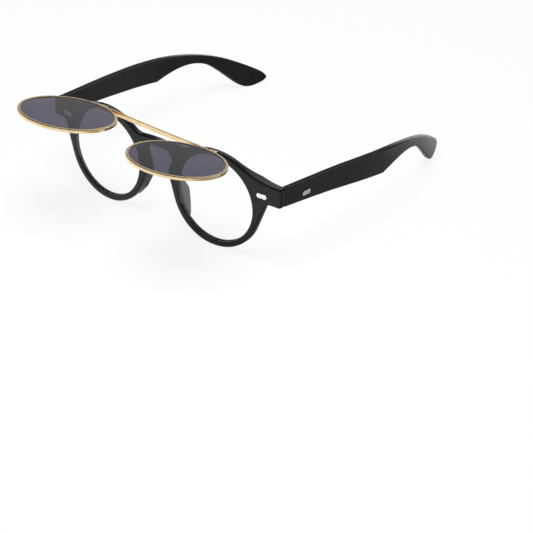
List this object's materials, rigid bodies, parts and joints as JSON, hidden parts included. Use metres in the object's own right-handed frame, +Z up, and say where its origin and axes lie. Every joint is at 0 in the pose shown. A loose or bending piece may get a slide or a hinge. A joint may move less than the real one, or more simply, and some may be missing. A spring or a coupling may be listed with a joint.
{
  "type": "flip up sunglasses",
  "caption": "Round keyhole spectacle frame with clear lenses, folding temples and a hinged gold clip of tinted lenses that flips up from the brow.",
  "frame": {"origin": "On the table, under the middle of the overall box: midway between the two lenses, and midway from the front edge of the raised clip to the temple tips.", "axes": "+Z up; the front of the frame faces -Y and the temples run back along +Y; +X is to the right of someone who looks at the front."},
  "size_m": [0.1498, 0.2036, 0.0624],
  "materials": {
    "acetate": "polished black acetate",
    "pad_plastic": "polished smoky grey",
    "clear_lens": "clear, coated",
    "tinted_lens": "smoky grey-violet tint",
    "gold_metal": "polished pale gold",
    "silver_metal": "polished",
    "steel": "satin"
  },
  "bodies": {
    "front": {"frame_front": "acetate", "clear_lens_left": "clear_lens", "clear_lens_right": "clear_lens", "nose_pad_left": "pad_plastic", "nose_pad_right": "pad_plastic", "front_rivet_left": "silver_metal", "front_rivet_right": "silver_metal", "front_hinge_left": "steel", "front_hinge_right": "steel", "hinge_screw_left": "steel", "hinge_screw_right": "steel", "flip_bracket_left": "gold_metal", "flip_bracket_right": "gold_metal", "bracket_screw_left": "steel", "bracket_screw_right": "steel", "friction_screw_left": "steel", "friction_screw_right": "steel"},
    "temple_left": {"temple_left": "acetate", "temple_core_left": "steel", "temple_hinge_left": "steel", "temple_rivet_left": "silver_metal"},
    "temple_right": {"temple_right": "acetate", "temple_core_right": "steel", "temple_hinge_right": "steel", "temple_rivet_right": "silver_metal"},
    "clip": {"flip_rim_left": "gold_metal", "flip_rim_right": "gold_metal", "sun_lens_left": "tinted_lens", "sun_lens_right": "tinted_lens", "rim_screw_left": "steel", "rim_screw_right": "steel", "flip_leaf_left": "gold_metal", "flip_leaf_right": "gold_metal", "flip_pin_left": "steel", "flip_pin_right": "steel", "brow_bar": "gold_metal"}
  },
  "joints": [
    {"name": "temple_right_fold", "type": "hinge", "parent": "front", "child": "temple_right", "pos_m": [0.066, -0.04154, 0.03535], "axis": [0, 0, 1], "range_deg": [0, 88]},
    {"name": "temple_left_fold", "type": "hinge", "parent": "front", "child": "temple_left", "pos_m": [-0.066, -0.04154, 0.03535], "axis": [0, 0, -1], "range_deg": [0, 79]},
    {"name": "clip_flip", "type": "hinge", "parent": "front", "child": "clip", "pos_m": [0, -0.05384, 0.05025], "axis": [1, 0, 0], "range_deg": [0, 101.3]}
  ]
}
